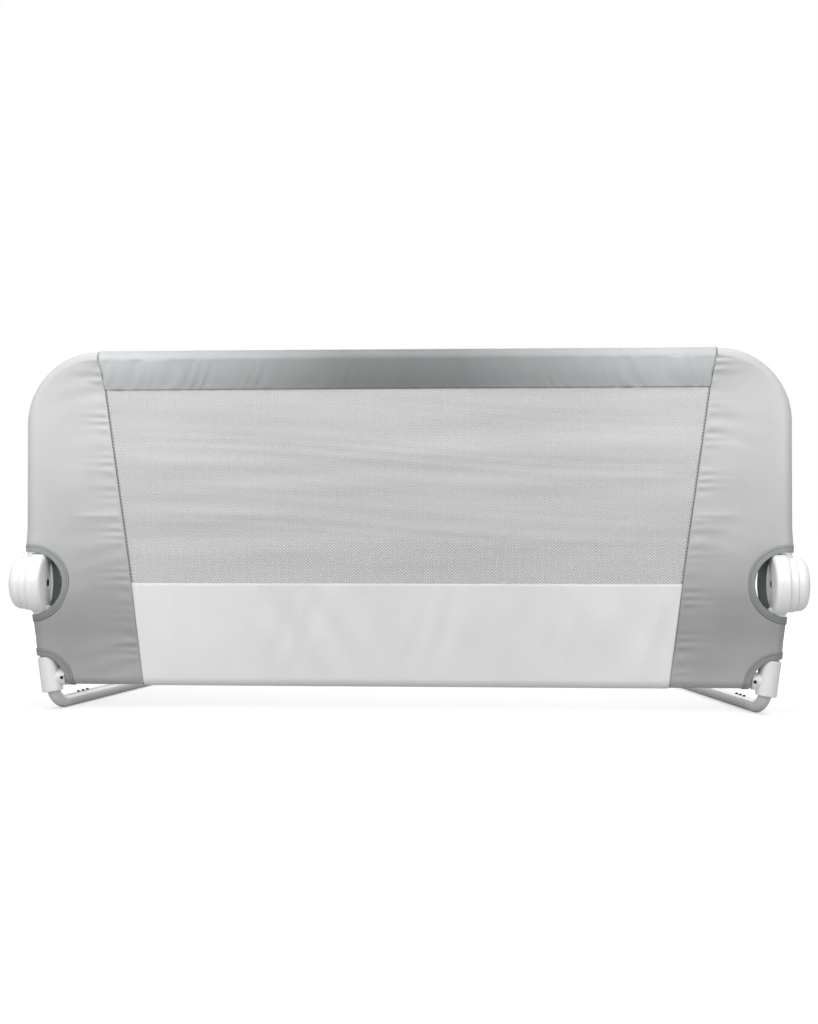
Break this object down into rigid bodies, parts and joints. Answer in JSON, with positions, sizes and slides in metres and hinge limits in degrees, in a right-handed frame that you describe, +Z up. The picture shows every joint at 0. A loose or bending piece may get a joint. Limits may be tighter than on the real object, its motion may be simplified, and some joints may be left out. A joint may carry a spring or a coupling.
{
  "type": "folding bed guard rail",
  "caption": "Cloth covered guard frame that folds down about two button-locked hubs, on a lower frame whose arms reach under the mattress and swing in.",
  "frame": {"origin": "centre of the footprint's box on the surface that the rail stands on", "axes": "+X along the rail, +Y towards the bed and the mattress, +Z up; the outer side of the rail faces -Y"},
  "size_m": [0.9488, 0.4302, 0.432],
  "materials": {
    "white_plastic": "satin",
    "pale_tube": "satin",
    "grey_cloth": "matte",
    "dark_cloth": "matte",
    "net": "matte",
    "pale_cloth": "matte",
    "dark_steel": "satin",
    "bright_steel": "satin",
    "gear_plastic": "satin",
    "foot_rubber": "matte"
  },
  "bodies": {
    "lower_frame": {"leg_tube_right": "pale_tube", "leg_tube_left": "pale_tube", "cross_tube": "pale_tube", "corner_socket_right": "white_plastic", "corner_socket_left": "white_plastic", "socket_screw_right": "dark_steel", "socket_screw_left": "dark_steel", "hub_lower_half_right": "white_plastic", "hub_lower_half_left": "white_plastic", "pivot_bolt_right": "dark_steel", "pivot_bolt_left": "dark_steel", "pivot_nut_right": "bright_steel", "pivot_nut_left": "bright_steel", "lock_spring_right": "bright_steel", "lock_spring_left": "bright_steel", "side_panel_lower_right": "grey_cloth", "side_panel_lower_left": "grey_cloth", "lower_band_cover": "pale_cloth"},
    "guard": {"guard_frame_tube": "pale_tube", "hub_upper_half_right": "white_plastic", "hub_upper_half_left": "white_plastic", "side_panel_upper_right": "grey_cloth", "side_panel_upper_left": "grey_cloth", "top_band_cover": "dark_cloth", "net_panel": "net"},
    "right_button": {"release_button_right": "white_plastic"},
    "left_button": {"release_button_left": "white_plastic"},
    "right_gear": {"lock_gear_right": "gear_plastic"},
    "left_gear": {"lock_gear_left": "gear_plastic"},
    "right_arm": {"base_arm_tube_right": "pale_tube", "arm_foot_right": "foot_rubber", "arm_rivet_1_right": "dark_steel", "arm_rivet_2_right": "dark_steel", "arm_rivet_3_right": "dark_steel"},
    "left_arm": {"base_arm_tube_left": "pale_tube", "arm_foot_left": "foot_rubber", "arm_rivet_1_left": "dark_steel", "arm_rivet_2_left": "dark_steel", "arm_rivet_3_left": "dark_steel"}
  },
  "joints": [
    {"name": "guard_fold", "type": "hinge", "parent": "lower_frame", "child": "guard", "pos_m": [0, -0.17847, 0.153], "axis": [1, 0, 0], "range_deg": [0, 140]},
    {"name": "right_button_press", "type": "slide", "parent": "guard", "child": "right_button", "axis": [-1, 0, 0], "range_m": [0, 0.0035], "stiffness_N_per_m": 1500, "springref_m": -0.001},
    {"name": "right_gear_slide", "type": "slide", "parent": "lower_frame", "child": "right_gear", "axis": [-1, 0, 0], "range_m": [0, 0.0035], "deforming": ["lock_spring_right"]},
    {"name": "right_arm_swing", "type": "hinge", "parent": "lower_frame", "child": "right_arm", "pos_m": [0.42712, -0.17847, 0.04], "axis": [0.1392, 0, 0.9903], "range_deg": [0, 64]},
    {"name": "left_button_press", "type": "slide", "parent": "guard", "child": "left_button", "axis": [1, 0, 0], "range_m": [0, 0.0035], "stiffness_N_per_m": 1500, "springref_m": -0.001},
    {"name": "left_gear_slide", "type": "slide", "parent": "lower_frame", "child": "left_gear", "axis": [1, 0, 0], "range_m": [0, 0.0035], "deforming": ["lock_spring_left"]},
    {"name": "left_arm_swing", "type": "hinge", "parent": "lower_frame", "child": "left_arm", "pos_m": [-0.42712, -0.17847, 0.04], "axis": [0.1392, 0, -0.9903], "range_deg": [0, 64]}
  ],
  "couplings": [
    {"joint": "right_gear_slide", "follows": "right_button_press", "ratio": 1},
    {"joint": "left_gear_slide", "follows": "left_button_press", "ratio": 1}
  ]
}
